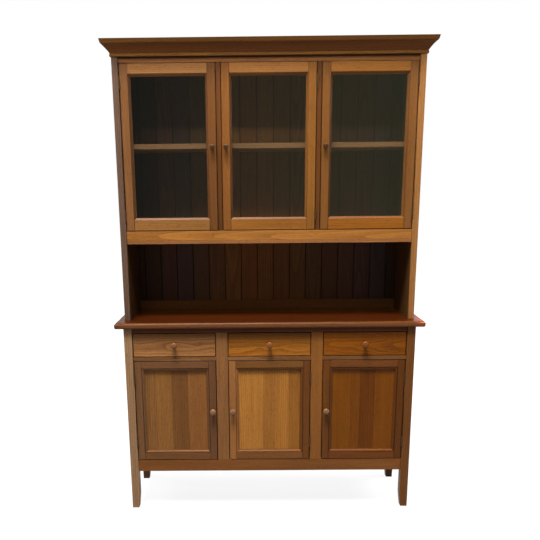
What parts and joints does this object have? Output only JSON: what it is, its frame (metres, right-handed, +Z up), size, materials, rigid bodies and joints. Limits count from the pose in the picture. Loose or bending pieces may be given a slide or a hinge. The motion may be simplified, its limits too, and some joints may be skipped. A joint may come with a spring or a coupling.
{
  "type": "step back cupboard",
  "caption": "Tall wooden step back cupboard: base with drawers over panelled doors on square legs, shallower upper case with glazed doors over an open bay, and a moulded cornice.",
  "frame": {"origin": "on the floor, midway between the furthest points left and right, and front and back", "axes": "+X to the right as seen from the front, +Y to the back, +Z up"},
  "size_m": [1.378, 0.349, 2.072],
  "materials": {
    "case_wood": "stained pine, satin varnish",
    "door_wood": "stained pine, satin varnish",
    "panel_wood": "stained pine, satin varnish",
    "worktop_wood": "stained pine, satin varnish",
    "back_wood": "stained pine, thin varnish",
    "knob_wood": "turned, stained and varnished",
    "pane_glass": "clear float glass",
    "hinge_metal": "dark bronzed"
  },
  "bodies": {
    "case": {"leg_front_left": "case_wood", "leg_front_right": "case_wood", "leg_rear_left": "case_wood", "leg_rear_right": "case_wood", "base_side_left": "case_wood", "base_side_right": "case_wood", "base_back": "back_wood", "base_top_rail": "case_wood", "base_bottom_rail": "case_wood", "base_upright_left": "case_wood", "base_upright_right": "case_wood", "base_floor": "case_wood", "drawer_deck": "case_wood", "worktop": "worktop_wood", "upper_side_left": "case_wood", "upper_side_right": "case_wood", "upper_top": "case_wood", "cornice": "case_wood", "upper_bottom_rail": "door_wood", "upper_floor": "case_wood", "upper_upright_left": "case_wood", "upper_upright_right": "case_wood", "upper_shelf": "case_wood", "upper_back": "back_wood", "lower_hinge_left_lower": "hinge_metal", "lower_hinge_left_upper": "hinge_metal", "lower_hinge_middle_lower": "hinge_metal", "lower_hinge_middle_upper": "hinge_metal", "lower_hinge_right_lower": "hinge_metal", "lower_hinge_right_upper": "hinge_metal", "upper_hinge_left_lower": "hinge_metal", "upper_hinge_left_upper": "hinge_metal", "upper_hinge_middle_lower": "hinge_metal", "upper_hinge_middle_upper": "hinge_metal", "upper_hinge_right_lower": "hinge_metal", "upper_hinge_right_upper": "hinge_metal"},
    "left_drawer": {"drawer_left": "panel_wood", "drawer_left_knob": "knob_wood"},
    "middle_drawer": {"drawer_middle": "panel_wood", "drawer_middle_knob": "knob_wood"},
    "right_drawer": {"drawer_right": "panel_wood", "drawer_right_knob": "knob_wood"},
    "left_lower_door": {"lower_door_left_frame": "door_wood", "lower_door_left_panel": "panel_wood", "lower_door_left_knob": "knob_wood"},
    "middle_lower_door": {"lower_door_middle_frame": "door_wood", "lower_door_middle_panel": "panel_wood", "lower_door_middle_knob": "knob_wood"},
    "right_lower_door": {"lower_door_right_frame": "door_wood", "lower_door_right_panel": "panel_wood", "lower_door_right_knob": "knob_wood"},
    "left_upper_door": {"upper_door_left_frame": "door_wood", "upper_door_left_glass": "pane_glass", "upper_door_left_knob": "knob_wood"},
    "middle_upper_door": {"upper_door_middle_frame": "door_wood", "upper_door_middle_glass": "pane_glass", "upper_door_middle_knob": "knob_wood"},
    "right_upper_door": {"upper_door_right_frame": "door_wood", "upper_door_right_glass": "pane_glass", "upper_door_right_knob": "knob_wood"}
  },
  "joints": [
    {"name": "left_drawer_slide", "type": "slide", "parent": "case", "child": "left_drawer", "axis": [0, -1, 0], "range_m": [0, 0.22]},
    {"name": "middle_drawer_slide", "type": "slide", "parent": "case", "child": "middle_drawer", "axis": [0, -1, 0], "range_m": [0, 0.22]},
    {"name": "right_drawer_slide", "type": "slide", "parent": "case", "child": "right_drawer", "axis": [0, -1, 0], "range_m": [0, 0.22]},
    {"name": "left_lower_door_hinge", "type": "hinge", "parent": "case", "child": "left_lower_door", "pos_m": [-0.6115, -0.1544, 0.48], "axis": [0, 0, -1], "range_deg": [0, 100]},
    {"name": "middle_lower_door_hinge", "type": "hinge", "parent": "case", "child": "middle_lower_door", "pos_m": [0.18517, -0.1544, 0.48], "axis": [0, 0, 1], "range_deg": [0, 100]},
    {"name": "right_lower_door_hinge", "type": "hinge", "parent": "case", "child": "right_lower_door", "pos_m": [0.6115, -0.1544, 0.48], "axis": [0, 0, 1], "range_deg": [0, 100]},
    {"name": "left_upper_door_hinge", "type": "hinge", "parent": "case", "child": "left_upper_door", "pos_m": [-0.6225, -0.1074, 1.64], "axis": [0, 0, -1], "range_deg": [0, 100]},
    {"name": "middle_upper_door_hinge", "type": "hinge", "parent": "case", "child": "middle_upper_door", "pos_m": [0.2005, -0.1074, 1.64], "axis": [0, 0, 1], "range_deg": [0, 100]},
    {"name": "right_upper_door_hinge", "type": "hinge", "parent": "case", "child": "right_upper_door", "pos_m": [0.6225, -0.1074, 1.64], "axis": [0, 0, 1], "range_deg": [0, 100]}
  ]
}
